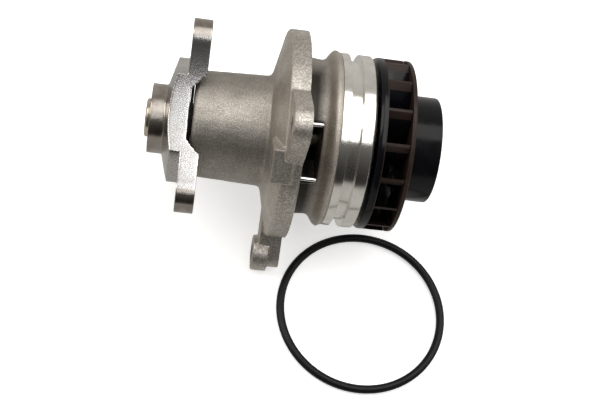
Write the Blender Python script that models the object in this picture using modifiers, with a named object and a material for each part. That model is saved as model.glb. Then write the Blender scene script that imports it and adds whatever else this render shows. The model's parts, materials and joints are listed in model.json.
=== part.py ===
"""Engine coolant pump: cast housing with its shaft bearing, face seal, three-arm drive hub and plastic
impeller, and the loose sealing ring of the housing lying beside it.

Metres, +Z up. The shaft runs along X, with the drive hub towards -X and the impeller towards +X. The
pump rests on its two lower ears, and the origin is the middle of the whole layout on that surface.
Every piece is modelled about its own upright axis and laid along X by the empty that it hangs on.
Axial stations count from the mounting face of the flange, positive towards the impeller.
"""
import math

import bmesh
import bpy
from mathutils import Matrix, Vector

# Clearances
FIT_GAP = 0.0003            # between two pieces that touch
FACE_GAP = 0.0008           # between a turning piece and a fixed one, along the shaft
MERGE = 0.00001

# Shaft and its two-row bearing
SHAFT_RADIUS = 0.00796
SHAFT_FRONT_STANDOUT = 0.0018
SHAFT_END_CHAMFER = 0.0006
CENTRE_HOLE_RADIUS = 0.0022
CENTRE_HOLE_DEPTH = 0.0020
BALL_RADIUS = 0.0024
BALLS_PER_ROW = 7
RACE_DEPTH = 0.0003
BEARING_LENGTH = 0.0378
BEARING_WALL = 0.0028
ROW_SPACING = 0.0190
CAGE_SIDE_GAP = 0.0011
CAGE_HALF_WIDTH = 0.0035
BEARING_SEAL_THICKNESS = 0.0012
BEARING_SEAL_INSET = 0.0006

# Barrel of the housing, as long as the bearing in it
BEARING_SHOULDER_STATION = -0.0054
BARREL_WALL = 0.0068
BARREL_DRAFT = 0.00105
BARREL_END_CHAMFER = 0.0014
BARREL_ROOT_FILLET = 0.0016
BEARING_SHOULDER = 0.0013

# Flange with its coned front
FLANGE_RADIUS = 0.0435
FLANGE_THICKNESS = 0.0070
FLANGE_EDGE = 0.0005
FLANGE_LIP = 0.0008
CONE_RISE = 0.0038
CONE_ROOT_WIDTH = 0.0031
CONE_ROOT_RISE = 0.0012
CONE_FILLET = 0.0004

# Upper ear: a lug that flares from its round tip to the flange, and the drilled hole in it
UPPER_EAR_ANGLE = math.radians(118.5)
UPPER_EAR_REACH = 0.0610
UPPER_EAR_TIP_HALF_WIDTH = 0.0053
UPPER_EAR_ROOT_HALF_WIDTH = 0.0172
UPPER_EAR_ROOT_SHARE = 0.8  # of the flange radius, where its sides start
UPPER_EAR_TIP_ROUND = 0.0080
UPPER_EAR_HOLE_INSET = 0.0085

# Lower ears: a round boss on a radial web
LOWER_EAR_ANGLES = (math.radians(225.0), math.radians(315.0))
LOWER_EAR_REACH = 0.0537
EAR_BOSS_RADIUS = 0.0076
EAR_BOSS_FRONT = -0.0117
EAR_BOSS_DEPTH = 0.0067
EAR_NECK_RADIUS = 0.00565
WEB_FRONT = -0.0096
EAR_HOLE_RADIUS = 0.0034

# Raised pad on the flange front
PAD_ANGLE = math.radians(139.2)
PAD_INNER = 0.0300
PAD_OUTER = 0.0448
PAD_HALF_WIDTH = 0.0069
PAD_CORNER = 0.0012
PAD_FRONT = -0.0118

# Waist behind the flange, and the machined sealing ring
WAIST_RADIUS = 0.0330
WAIST_DIP = 0.0005
WAIST_LENGTH = 0.0070
COLLAR_PEAK = 0.0371
COLLAR_PEAK_STATION = 0.0126
COLLAR_SHARPNESS = 3.2
RING_FRONT = 0.0143
RING_RADIUS = 0.0363
GROOVE_FRONT = 0.0178
GROOVE_WIDTH = 0.0046
GROOVE_DEPTH = 0.0029
RING_CHAMFER = 0.0010

# Drain chamber, its side window and the two pins across the window
CHAMBER_SIDE_ROOM = 0.0018
CHAMBER_BACK = 0.0090
WINDOW_FRONT = 0.0010
WINDOW_BACK = 0.0076
WINDOW_START = math.radians(111.5)
WINDOW_END = math.radians(157.3)
WINDOW_PIN_RADIUS = 0.00100
WINDOW_PIN_SEAT = 0.0025
WINDOW_PIN_DEPTH = 0.0003

# Seal seat in the housing, and the bowl behind the impeller
SEAL_BORE_WALL = 0.0045
SEAL_RADIAL_ROOM = 0.0072
SEAL_FLANGE_WIDTH = 0.0031
BOWL_SIDE_ROOM = 0.0017
BOWL_WALL = 0.0039
BOWL_MARGIN = 0.0013

# Face seal pieces, from the housing wall towards the impeller
CUP_SHEET = 0.0010
CUP_FRONT_INSET = 0.0005
BELLOWS_WALL = 0.0012
BELLOWS_LENGTH = 0.0075
BELLOWS_SHAFT_ROOM = 0.0012
SPRING_WIRE_RADIUS = 0.00045
SPRING_TURNS = 3
CARBON_LENGTH = 0.0032
CARBON_NOSE = 0.0010
CARBON_STEP = 0.0009
SEAT_LENGTH = 0.0032
SEAT_WIDTH = 0.0036
SEAT_CUP_SHEET = 0.0011
SEAT_LIP_SETBACK = 0.0008

# Drive hub
HUB_OVERLAP = 0.0041        # how far it reaches over the end of the barrel
ARM_THICKNESS = 0.0076
ARM_ANGLES = (math.radians(53.0), math.radians(173.0), math.radians(293.0))
ARM_BOLT_REACH = 0.0362
ARM_TIP_RADIUS = 0.0080
ARM_HOLE_RADIUS = 0.0034
HUB_WAIST_RADIUS = 0.0193
HUB_DISC_RADIUS = 0.0262
HUB_DISC_STEP = 0.0043
HUB_CONE_RISE = 0.0032
NOSE_RADIUS = 0.0144
NOSE_LENGTH = 0.0062
NOSE_EDGE = 0.0005
NOSE_MOUTH_WIDTH = 0.0024
NOSE_MOUTH_DEPTH = 0.0015
BARREL_TO_HUB = 0.0017
RECESS_SIDE_GAP = 0.0016
RECESS_FLARE = 0.0042
SLINGER_BARREL_GAP = 0.0004
SLINGER_EDGE_SETBACK = 0.0003

# Impeller and its front shroud
IMPELLER_RUNNING_GAP = 0.0014
IMPELLER_DISC = 0.0030
IMPELLER_RADIUS = 0.0362
IMPELLER_BEVEL = 0.0011
VANE_DEPTH = 0.0098
VANE_COUNT = 16
VANE_THICKNESS = 0.0012
VANE_SWEEP = math.radians(-38.0)
VANE_PHASE = math.radians(121.5)
INSERT_WALL = 0.0026
IMPELLER_HUB_WALL = 0.0030
IMPELLER_HUB_SETBACK = 0.0012
SHROUD_SHEET = 0.0018
NECK_RADIUS = 0.0223
NECK_WALL = 0.0028
NECK_LENGTH = 0.0140
NECK_EDGE = 0.0006

# Loose sealing ring, lying flat beside the pump
O_RING_SECTION_RADIUS = 0.00175
O_RING_STRETCH = 0.0001
O_RING_END_GAP = 0.0010     # from the mounting face to the ring, along the shaft
O_RING_SIDE_PLACE = -0.0580

# Sides of the round shapes
ROUND_STEPS = 48
BORE_STEPS = 32
CAGE_STEPS = 42
BOSS_STEPS = 20
HOLE_STEPS = 16
PIN_STEPS = 12

# Places that follow from the sizes above
ball_pitch = SHAFT_RADIUS - RACE_DEPTH + BALL_RADIUS
race_radius = BALL_RADIUS + FIT_GAP
bearing_bore = ball_pitch + BALL_RADIUS - RACE_DEPTH
bearing_radius = bearing_bore + BEARING_WALL
bearing_back = BEARING_SHOULDER_STATION
bearing_front = bearing_back - BEARING_LENGTH
bearing_middle = (bearing_front + bearing_back) / 2.0
row_stations = (bearing_middle - ROW_SPACING / 2.0, bearing_middle + ROW_SPACING / 2.0)
barrel_bore = bearing_radius + FIT_GAP
barrel_front_radius = barrel_bore + BARREL_WALL
barrel_root_radius = barrel_front_radius + BARREL_DRAFT
barrel_front = bearing_front - FIT_GAP
chamber_front = bearing_back + FIT_GAP + BEARING_SHOULDER

turning_bore = SHAFT_RADIUS + FIT_GAP
seal_bore = SHAFT_RADIUS + SEAL_RADIAL_ROOM
chamber_radius = seal_bore + CHAMBER_SIDE_ROOM
seal_flange_radius = seal_bore + SEAL_FLANGE_WIDTH
bowl_floor = CHAMBER_BACK + SEAL_BORE_WALL
bowl_floor_radius = seal_flange_radius + BOWL_SIDE_ROOM
cup_front = CHAMBER_BACK + CUP_FRONT_INSET
cup_radius = seal_bore - FIT_GAP
bellows_front = cup_front + CUP_SHEET + FIT_GAP
bellows_back = bellows_front + BELLOWS_LENGTH
bellows_bore = SHAFT_RADIUS + BELLOWS_SHAFT_ROOM
bellows_radius = cup_radius - CUP_SHEET - FIT_GAP
carbon_front = bellows_back + FIT_GAP
carbon_back = carbon_front + CARBON_LENGTH
seat_front = carbon_back + FIT_GAP
seat_back = seat_front + SEAT_LENGTH
seat_bore = turning_bore + SEAT_CUP_SHEET + FIT_GAP
seat_radius = seat_bore + SEAT_WIDTH
seat_cup_back = seat_back + FIT_GAP + SEAT_CUP_SHEET

ring_back = seat_cup_back + BOWL_MARGIN
groove_radius = RING_RADIUS - GROOVE_DEPTH
groove_back = GROOVE_FRONT + GROOVE_WIDTH
bowl_mouth_radius = groove_radius - BOWL_WALL

recess_floor = barrel_front - BARREL_TO_HUB
recess_floor_radius = barrel_front_radius - BARREL_END_CHAMFER + RECESS_SIDE_GAP
hub_back = barrel_front + HUB_OVERLAP
arm_front = hub_back - ARM_THICKNESS
disc_front = arm_front - HUB_DISC_STEP
nose_root = disc_front - HUB_CONE_RISE
nose_front = nose_root - NOSE_LENGTH
shaft_front = nose_front - SHAFT_FRONT_STANDOUT

impeller_front = ring_back + IMPELLER_RUNNING_GAP
disc_back = impeller_front + IMPELLER_DISC
shroud_front = disc_back + VANE_DEPTH
shroud_back = shroud_front + SHROUD_SHEET
neck_back = shroud_back + NECK_LENGTH
insert_radius = turning_bore + INSERT_WALL
impeller_bore = insert_radius + FIT_GAP
impeller_hub_radius = impeller_bore + IMPELLER_HUB_WALL
impeller_hub_front = seat_cup_back + FACE_GAP
impeller_hub_back = shroud_front - IMPELLER_HUB_SETBACK
shaft_back = impeller_hub_back - FIT_GAP

ear_spread = LOWER_EAR_REACH * math.sin(math.pi / 4.0) + EAR_BOSS_RADIUS
arm_drop = ARM_TIP_RADIUS - ARM_BOLT_REACH * min(math.sin(angle) for angle in ARM_ANGLES)
axis_height = max(ear_spread, FLANGE_RADIUS, arm_drop, IMPELLER_RADIUS)
o_ring_radius = groove_radius + O_RING_STRETCH + O_RING_SECTION_RADIUS
o_ring_outer = o_ring_radius + O_RING_SECTION_RADIUS
o_ring_top = 2.0 * O_RING_SECTION_RADIUS + FACE_GAP
impeller_foot = math.sqrt(max(0.0, IMPELLER_RADIUS ** 2 - (axis_height - o_ring_top) ** 2))
o_ring_station = O_RING_END_GAP + o_ring_outer
o_ring_side = min(O_RING_SIDE_PLACE, -impeller_foot - o_ring_outer)
layout_front = min(o_ring_side - o_ring_outer, -ear_spread)
layout_back = max(ear_spread, FLANGE_RADIUS)
layout_right = max(neck_back, o_ring_station + o_ring_outer)
axis_origin = Vector((-(shaft_front + layout_right) / 2.0, -(layout_front + layout_back) / 2.0, axis_height))

for old in list(bpy.data.objects):
    bpy.data.objects.remove(old, do_unlink=True)

parts = bpy.data.collections.new("water_pump")
cutters = bpy.data.collections.new("water_pump_cutters")
bpy.context.scene.collection.children.link(parts)
bpy.context.scene.collection.children.link(cutters)


def finish_material(name, colour, roughness, metallic):
    """One plain finish, shared by the pieces that are made of it."""
    finish = bpy.data.materials.new(name)
    finish.use_nodes = True
    shader = finish.node_tree.nodes["Principled BSDF"]
    shader.inputs["Base Color"].default_value = (*colour, 1.0)
    shader.inputs["Roughness"].default_value = roughness
    shader.inputs["Metallic"].default_value = metallic
    return finish


FINISHES = {
    "cast aluminium": finish_material("cast aluminium", (0.52, 0.48, 0.43), 0.45, 0.9),
    "turned steel": finish_material("turned steel", (0.62, 0.61, 0.60), 0.30, 1.0),
    "bearing steel": finish_material("bearing steel", (0.55, 0.55, 0.56), 0.18, 1.0),
    "sheet steel": finish_material("sheet steel", (0.58, 0.56, 0.50), 0.35, 1.0),
    "brass": finish_material("brass", (0.65, 0.48, 0.22), 0.35, 1.0),
    "brown plastic": finish_material("brown plastic", (0.075, 0.045, 0.036), 0.38, 0.0),
    "black plastic": finish_material("black plastic", (0.012, 0.012, 0.014), 0.28, 0.0),
    "rubber": finish_material("rubber", (0.016, 0.016, 0.018), 0.55, 0.0),
    "carbon": finish_material("carbon", (0.03, 0.03, 0.032), 0.35, 0.0),
    "ceramic": finish_material("ceramic", (0.80, 0.78, 0.72), 0.25, 0.0),
    "cage plastic": finish_material("cage plastic", (0.35, 0.22, 0.09), 0.45, 0.0),
}


def empty(name, parent=None):
    """A named frame that pieces hang on."""
    frame = bpy.data.objects.new(name, None)
    frame.empty_display_size = 0.01
    frame.parent = parent
    parts.objects.link(frame)
    return frame


pump_axis = empty("pump_axis")
pump_axis.location = axis_origin
pump_axis.rotation_euler = (math.pi / 2.0, 0.0, math.pi / 2.0)
shaft_axis = empty("shaft_axis", pump_axis)
cage_axes = (empty("front_cage_axis", pump_axis), empty("rear_cage_axis", pump_axis))


def hang(piece, parent, finish=None):
    """Put a finished piece in the model, on its parent frame."""
    piece.parent = parent
    parts.objects.link(piece)
    piece.data.materials.clear()
    piece.data.materials.append(FINISHES[finish])
    return piece


def as_cutter(piece):
    """Keep a helper solid out of the model, as a wire."""
    piece.parent = pump_axis
    cutters.objects.link(piece)
    piece.hide_render = True
    piece.display_type = "WIRE"
    return piece


def combine(piece, operation, helper):
    """Join, cut or trim a piece with a helper solid."""
    step = piece.modifiers.new(operation.lower() + " " + helper.name, "BOOLEAN")
    step.operation = operation
    step.solver = "EXACT"
    step.object = helper


def turned(name, profile, steps=ROUND_STEPS, closed=True):
    """A lathe shape: (station, radius) points down the outer side, then back up the bore."""
    mesh = bpy.data.meshes.new(name)
    points = [(radius, 0.0, station) for station, radius in profile]
    edges = [(i, i + 1) for i in range(len(points) - 1)]
    if closed:
        edges.append((len(points) - 1, 0))
    mesh.from_pydata(points, edges, [])
    piece = bpy.data.objects.new(name, mesh)
    screw = piece.modifiers.new("turn", "SCREW")
    screw.axis = "Z"
    screw.steps = steps
    screw.render_steps = steps
    screw.use_merge_vertices = True
    screw.merge_threshold = MERGE
    screw.use_smooth_shade = True
    return piece


def polar(radius, angle):
    return Vector((radius * math.cos(angle), radius * math.sin(angle)))


def arc(centre, radius, start, end, steps):
    """Points along an arc, both ends included."""
    turn = (end - start) / steps
    return [centre + polar(radius, start + turn * i) for i in range(steps + 1)]


def rounded_outline(corners, steps=5):
    """A polygon of (x, y, corner radius), its corners turned into arcs."""
    outline = []
    for i, (x, y, radius) in enumerate(corners):
        here = Vector((x, y))
        before = (Vector(corners[i - 1][:2]) - here).normalized()
        after = (Vector(corners[(i + 1) % len(corners)][:2]) - here).normalized()
        half = before.angle(after) / 2.0
        if radius <= 0.0:
            outline.append(here)
            continue
        centre = here + (before + after).normalized() * (radius / math.sin(half))
        start = here + before * (radius / math.tan(half)) - centre
        end = here + after * (radius / math.tan(half)) - centre
        sweep = start.angle_signed(end)
        for j in range(steps + 1):
            outline.append(centre + Matrix.Rotation(-sweep * j / steps, 2) @ start)
    return outline


def turned_outline(outline, angle):
    """The outline turned about the shaft."""
    return [Matrix.Rotation(angle, 2) @ point for point in outline]


def plate(name, outline, front, back, hole=()):
    """A flat outline across the shaft, made solid between two stations."""
    curve = bpy.data.curves.new(name, "CURVE")
    curve.dimensions = "2D"
    curve.fill_mode = "BOTH"
    curve.extrude = (back - front) / 2.0
    for ring in filter(None, (outline, hole)):
        spline = curve.splines.new("POLY")
        spline.points.add(len(ring) - 1)
        for point, place in zip(spline.points, ring):
            point.co = (place[0], place[1], 0.0, 1.0)
        spline.use_cyclic_u = True
    return solid_from(curve, name, (front + back) / 2.0)


def solid_from(curve, name, station=0.0):
    """A curve made a welded mesh, moved along the shaft to its station."""
    shape = bpy.data.objects.new(name + " curve", curve)
    bpy.context.scene.collection.objects.link(shape)
    evaluated = shape.evaluated_get(bpy.context.evaluated_depsgraph_get())
    mesh = bpy.data.meshes.new_from_object(evaluated)
    mesh.name = name
    bpy.data.objects.remove(shape, do_unlink=True)
    build = bmesh.new()
    build.from_mesh(mesh)
    bmesh.ops.remove_doubles(build, verts=build.verts, dist=MERGE)
    bmesh.ops.translate(build, verts=build.verts, vec=(0.0, 0.0, station))
    bmesh.ops.recalc_face_normals(build, faces=build.faces)
    build.to_mesh(mesh)
    build.free()
    return bpy.data.objects.new(name, mesh)


def rod(name, radius, front, back, centre=(0.0, 0.0), steps=HOLE_STEPS):
    """A round bar along the shaft direction."""
    mesh = bpy.data.meshes.new(name)
    build = bmesh.new()
    bmesh.ops.create_cone(build, cap_ends=True, segments=steps, radius1=radius, radius2=radius,
                          depth=back - front,
                          matrix=Matrix.Translation((centre[0], centre[1], (front + back) / 2.0)))
    build.to_mesh(mesh)
    build.free()
    return bpy.data.objects.new(name, mesh)


def smooth(piece, angle=35.0):
    """Round faces shade smooth, and edges sharper than the angle stay crisp."""
    piece.data.shade_smooth()
    piece.data.set_sharp_from_angle(angle=math.radians(angle))


def race(station, side, steps=4):
    """Groove of a ball row along a profile: side 1 in the ring's bore, -1 on the shaft."""
    reach = math.acos((BALL_RADIUS - RACE_DEPTH) / race_radius)
    groove = []
    for i in range(steps + 1):
        angle = reach * (2.0 * i / steps - 1.0)
        groove.append((station + side * race_radius * math.sin(angle),
                       ball_pitch + side * race_radius * math.cos(angle)))
    return groove


def pump_housing():
    """Aluminium casting: barrel, flange with three ears, waist and machined ring."""
    dip = WAIST_RADIUS - WAIST_DIP
    collar_rise = COLLAR_PEAK_STATION - WAIST_LENGTH
    profile = [
        (ring_back, RING_RADIUS - RING_CHAMFER),
        (ring_back - RING_CHAMFER, RING_RADIUS),
        (groove_back, RING_RADIUS),
        (groove_back, groove_radius),
        (GROOVE_FRONT, groove_radius),
        (GROOVE_FRONT, RING_RADIUS),
        (RING_FRONT, RING_RADIUS),
        (COLLAR_PEAK_STATION, COLLAR_PEAK),
    ]
    for i in range(1, 5):
        swell = math.cos(math.pi / 2.0 * i / 5) ** COLLAR_SHARPNESS
        profile.append((COLLAR_PEAK_STATION - collar_rise * i / 5, dip + (COLLAR_PEAK - dip) * swell))
    lip = -FLANGE_THICKNESS - FLANGE_LIP
    cone_root = lip - CONE_RISE
    cone_foot = cone_root - CONE_ROOT_RISE
    profile += [
        (WAIST_LENGTH, dip),
        (0.0, WAIST_RADIUS),
        (0.0, FLANGE_RADIUS - FLANGE_EDGE),
        (-FLANGE_EDGE, FLANGE_RADIUS),
        (-FLANGE_THICKNESS, FLANGE_RADIUS),
        (lip, FLANGE_RADIUS - FLANGE_EDGE),
        (cone_root, barrel_root_radius + CONE_ROOT_WIDTH),
        (cone_foot, barrel_root_radius + CONE_FILLET),
        (cone_foot - BARREL_ROOT_FILLET, barrel_root_radius),
        (barrel_front + BARREL_END_CHAMFER, barrel_front_radius),
        (barrel_front, barrel_front_radius - BARREL_END_CHAMFER),
        (barrel_front, barrel_bore),
        (bearing_back + FIT_GAP, barrel_bore),
        (bearing_back + FIT_GAP, barrel_bore - BEARING_SHOULDER),
        (chamber_front, barrel_bore - BEARING_SHOULDER),
        (chamber_front, chamber_radius),
        (CHAMBER_BACK, chamber_radius),
        (CHAMBER_BACK, seal_bore),
        (bowl_floor, seal_bore),
        (bowl_floor, bowl_floor_radius),
        (ring_back, bowl_mouth_radius),
    ]
    housing = hang(turned("pump_housing", profile), pump_axis, "cast aluminium")

    overrun = 0.002
    lug_root = FLANGE_RADIUS * UPPER_EAR_ROOT_SHARE
    lug = rounded_outline([
        (lug_root, -UPPER_EAR_ROOT_HALF_WIDTH, 0.0),
        (UPPER_EAR_REACH, -UPPER_EAR_TIP_HALF_WIDTH, UPPER_EAR_TIP_ROUND),
        (UPPER_EAR_REACH, UPPER_EAR_TIP_HALF_WIDTH, UPPER_EAR_TIP_ROUND),
        (lug_root, UPPER_EAR_ROOT_HALF_WIDTH, 0.0),
    ])
    upper_ear = plate("upper ear", turned_outline(lug, UPPER_EAR_ANGLE), -FLANGE_THICKNESS, 0.0)
    combine(housing, "UNION", as_cutter(upper_ear))

    web_start = barrel_root_radius - overrun
    neck_front = EAR_BOSS_FRONT + EAR_BOSS_DEPTH / 2.0
    for number, angle in enumerate(LOWER_EAR_ANGLES, 1):
        web = [Vector((web_start, -EAR_NECK_RADIUS)),
               Vector((LOWER_EAR_REACH, -EAR_NECK_RADIUS)),
               Vector((LOWER_EAR_REACH, EAR_NECK_RADIUS)),
               Vector((web_start, EAR_NECK_RADIUS))]
        web_bar = plate("web %d" % number, turned_outline(web, angle), WEB_FRONT, 0.0)
        combine(housing, "UNION", as_cutter(web_bar))
        centre = polar(LOWER_EAR_REACH, angle)
        boss = rod("ear boss %d" % number, EAR_BOSS_RADIUS, EAR_BOSS_FRONT, EAR_BOSS_FRONT + EAR_BOSS_DEPTH,
                   centre, BOSS_STEPS)
        combine(housing, "UNION", as_cutter(boss))
        neck = rod("ear neck %d" % number, EAR_NECK_RADIUS, neck_front, 0.0, centre, BOSS_STEPS)
        combine(housing, "UNION", as_cutter(neck))

    pad = rounded_outline([
        (PAD_INNER, -PAD_HALF_WIDTH, PAD_CORNER),
        (PAD_OUTER, -PAD_HALF_WIDTH, PAD_CORNER),
        (PAD_OUTER, PAD_HALF_WIDTH, PAD_CORNER),
        (PAD_INNER, PAD_HALF_WIDTH, PAD_CORNER),
    ], 2)
    pad_block = plate("pad", turned_outline(pad, PAD_ANGLE), PAD_FRONT, -FLANGE_THICKNESS / 2.0)
    combine(housing, "UNION", as_cutter(pad_block))

    holes = [polar(UPPER_EAR_REACH - UPPER_EAR_HOLE_INSET, UPPER_EAR_ANGLE)]
    holes += [polar(LOWER_EAR_REACH, angle) for angle in LOWER_EAR_ANGLES]
    for number, centre in enumerate(holes, 1):
        drill = rod("ear hole %d" % number, EAR_HOLE_RADIUS, EAR_BOSS_FRONT - overrun, overrun, centre)
        combine(housing, "DIFFERENCE", as_cutter(drill))

    steps = 8
    window = arc(Vector((0.0, 0.0)), COLLAR_PEAK + overrun, WINDOW_START, WINDOW_END, steps)
    window += arc(Vector((0.0, 0.0)), chamber_radius - overrun, WINDOW_END, WINDOW_START, steps)
    opening = plate("window", window, WINDOW_FRONT, WINDOW_BACK)
    combine(housing, "DIFFERENCE", as_cutter(opening))
    for number, centre in enumerate(window_pin_places(), 1):
        seat = rod("pin seat %d" % number, WINDOW_PIN_RADIUS + FIT_GAP, WINDOW_FRONT - WINDOW_PIN_SEAT,
                   WINDOW_BACK + WINDOW_PIN_SEAT, centre, PIN_STEPS)
        combine(housing, "DIFFERENCE", as_cutter(seat))
    return housing


def window_pin_places():
    """Along the two ends of the window, a little under the surface of the waist."""
    reach = WAIST_RADIUS - WAIST_DIP - WINDOW_PIN_RADIUS - WINDOW_PIN_DEPTH
    inset = WINDOW_PIN_RADIUS / reach
    return [polar(reach, WINDOW_START + inset), polar(reach, WINDOW_END - inset)]


def window_pins():
    for name, centre in zip(("window_pin_upper", "window_pin_lower"), window_pin_places()):
        pin = rod(name, WINDOW_PIN_RADIUS, WINDOW_FRONT - WINDOW_PIN_SEAT + FIT_GAP,
                  WINDOW_BACK + WINDOW_PIN_SEAT - FIT_GAP, centre, PIN_STEPS)
        smooth(pin)
        hang(pin, pump_axis, "bearing steel")


def bearing():
    """Outer ring and its two lip seals, in the barrel."""
    profile = [(bearing_back, bearing_radius), (bearing_front, bearing_radius), (bearing_front, bearing_bore)]
    for station in row_stations:
        profile += race(station, 1)
    profile.append((bearing_back, bearing_bore))
    hang(turned("bearing_outer_ring", profile, BORE_STEPS), pump_axis, "bearing steel")
    fronts = (bearing_front + BEARING_SEAL_INSET,
              bearing_back - BEARING_SEAL_INSET - BEARING_SEAL_THICKNESS)
    for name, front in zip(("bearing_seal_front", "bearing_seal_rear"), fronts):
        back = front + BEARING_SEAL_THICKNESS
        lip = [(back, bearing_bore - FIT_GAP), (front, bearing_bore - FIT_GAP),
               (front, turning_bore + FIT_GAP), (back, turning_bore)]
        hang(turned(name, lip, BORE_STEPS), pump_axis, "rubber")


def pump_shaft():
    """Ground shaft with the two inner races cut in it."""
    edge = SHAFT_END_CHAMFER
    profile = [(shaft_back, 0.0), (shaft_back, SHAFT_RADIUS - edge), (shaft_back - edge, SHAFT_RADIUS)]
    for station in reversed(row_stations):
        profile += race(station, -1)
    profile += [(shaft_front + edge, SHAFT_RADIUS), (shaft_front, SHAFT_RADIUS - edge),
                (shaft_front, CENTRE_HOLE_RADIUS), (shaft_front + CENTRE_HOLE_DEPTH, 0.0)]
    hang(turned("pump_shaft", profile, BORE_STEPS, closed=False), shaft_axis, "bearing steel")


def ball_rows():
    """Two cages, each with its balls in their pockets."""
    half = CAGE_HALF_WIDTH
    inner = SHAFT_RADIUS + CAGE_SIDE_GAP
    outer = bearing_bore - CAGE_SIDE_GAP
    for row, station, axis in zip(("front", "rear"), row_stations, cage_axes):
        profile = [(station + half, outer), (station - half, outer),
                   (station - half, inner), (station + half, inner)]
        cage = hang(turned("ball_cage_" + row, profile, CAGE_STEPS), axis, "cage plastic")
        pockets = bpy.data.meshes.new("ball pockets " + row)
        build = bmesh.new()
        for i in range(BALLS_PER_ROW):
            angle = 2.0 * math.pi * i / BALLS_PER_ROW
            middle = polar((inner + outer) / 2.0, angle)
            lay_down = Matrix.Rotation(angle, 4, "Z") @ Matrix.Rotation(math.pi / 2.0, 4, "Y")
            bmesh.ops.create_cone(build, cap_ends=True, segments=PIN_STEPS, radius1=race_radius,
                                  radius2=race_radius, depth=outer - inner + CAGE_SIDE_GAP,
                                  matrix=Matrix.Translation((middle.x, middle.y, station)) @ lay_down)
        build.to_mesh(pockets)
        build.free()
        combine(cage, "DIFFERENCE", as_cutter(bpy.data.objects.new("ball pockets " + row, pockets)))
        for i in range(BALLS_PER_ROW):
            mesh = bpy.data.meshes.new("ball")
            build = bmesh.new()
            bmesh.ops.create_icosphere(build, subdivisions=2, radius=BALL_RADIUS)
            build.to_mesh(mesh)
            build.free()
            mesh.shade_smooth()
            ball = bpy.data.objects.new("ball_%s_%d" % (row, i + 1), mesh)
            middle = polar(ball_pitch, 2.0 * math.pi * i / BALLS_PER_ROW)
            ball.location = (middle.x, middle.y, station)
            hang(ball, axis, "bearing steel")


def fixed_seal_half():
    """Pressed cup in the housing, rubber bellows, spring and carbon face."""
    flange_front = bowl_floor + FIT_GAP
    flange_back = flange_front + CUP_SHEET
    cup = [(flange_back, seal_flange_radius), (flange_front, seal_flange_radius),
           (flange_front, cup_radius), (cup_front, cup_radius),
           (cup_front, bellows_bore), (cup_front + CUP_SHEET, bellows_bore),
           (cup_front + CUP_SHEET, cup_radius - CUP_SHEET), (flange_back, cup_radius - CUP_SHEET)]
    hang(turned("seal_cup", cup, BORE_STEPS), pump_axis, "sheet steel")

    sleeve = bellows_bore + BELLOWS_WALL
    head_front = bellows_back - BELLOWS_WALL
    base_back = bellows_front + BELLOWS_WALL
    bellows = [(bellows_back, bellows_radius), (head_front, bellows_radius), (head_front, sleeve),
               (base_back, sleeve), (base_back, bellows_radius), (bellows_front, bellows_radius),
               (bellows_front, bellows_bore), (bellows_back, bellows_bore)]
    hang(turned("seal_bellows", bellows, BORE_STEPS), pump_axis, "rubber")

    coil_radius = (sleeve + bellows_radius) / 2.0
    coil_start = base_back + FIT_GAP + SPRING_WIRE_RADIUS
    coil_rise = head_front - FIT_GAP - SPRING_WIRE_RADIUS - coil_start
    points_per_turn = 12
    curve = bpy.data.curves.new("seal_spring", "CURVE")
    curve.dimensions = "3D"
    curve.bevel_depth = SPRING_WIRE_RADIUS
    curve.bevel_resolution = 1
    curve.use_fill_caps = True
    coil = curve.splines.new("POLY")
    coil.points.add(SPRING_TURNS * points_per_turn)
    for i, point in enumerate(coil.points):
        place = polar(coil_radius, 2.0 * math.pi * i / points_per_turn)
        point.co = (place.x, place.y, coil_start + coil_rise * i / (len(coil.points) - 1), 1.0)
    hang(solid_from(curve, "seal_spring"), pump_axis, "sheet steel")

    nose_front = carbon_back - CARBON_NOSE
    carbon_bore = bellows_bore + FIT_GAP
    carbon = [(carbon_back, bellows_radius - CARBON_STEP), (nose_front, bellows_radius - CARBON_STEP),
              (nose_front, bellows_radius), (carbon_front, bellows_radius),
              (carbon_front, carbon_bore), (nose_front, carbon_bore),
              (carbon_back, carbon_bore + CARBON_STEP / 2.0)]
    hang(turned("carbon_face", carbon, BORE_STEPS), pump_axis, "carbon")


def turning_seal_half():
    """Ceramic seat in its pressed cup, on the shaft."""
    seat = [(seat_back, seat_radius), (seat_front, seat_radius), (seat_front, seat_bore), (seat_back, seat_bore)]
    hang(turned("seal_seat", seat, BORE_STEPS), shaft_axis, "ceramic")
    lip_inner = seat_radius + FIT_GAP
    lip_front = seat_front + SEAT_LIP_SETBACK
    floor = seat_back + FIT_GAP
    cup = [(seat_cup_back, lip_inner + SEAT_CUP_SHEET), (lip_front, lip_inner + SEAT_CUP_SHEET),
           (lip_front, lip_inner), (floor, lip_inner),
           (floor, turning_bore + SEAT_CUP_SHEET), (lip_front, turning_bore + SEAT_CUP_SHEET),
           (lip_front, turning_bore), (seat_cup_back, turning_bore)]
    hang(turned("seat_cup", cup, BORE_STEPS), shaft_axis, "sheet steel")


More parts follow.
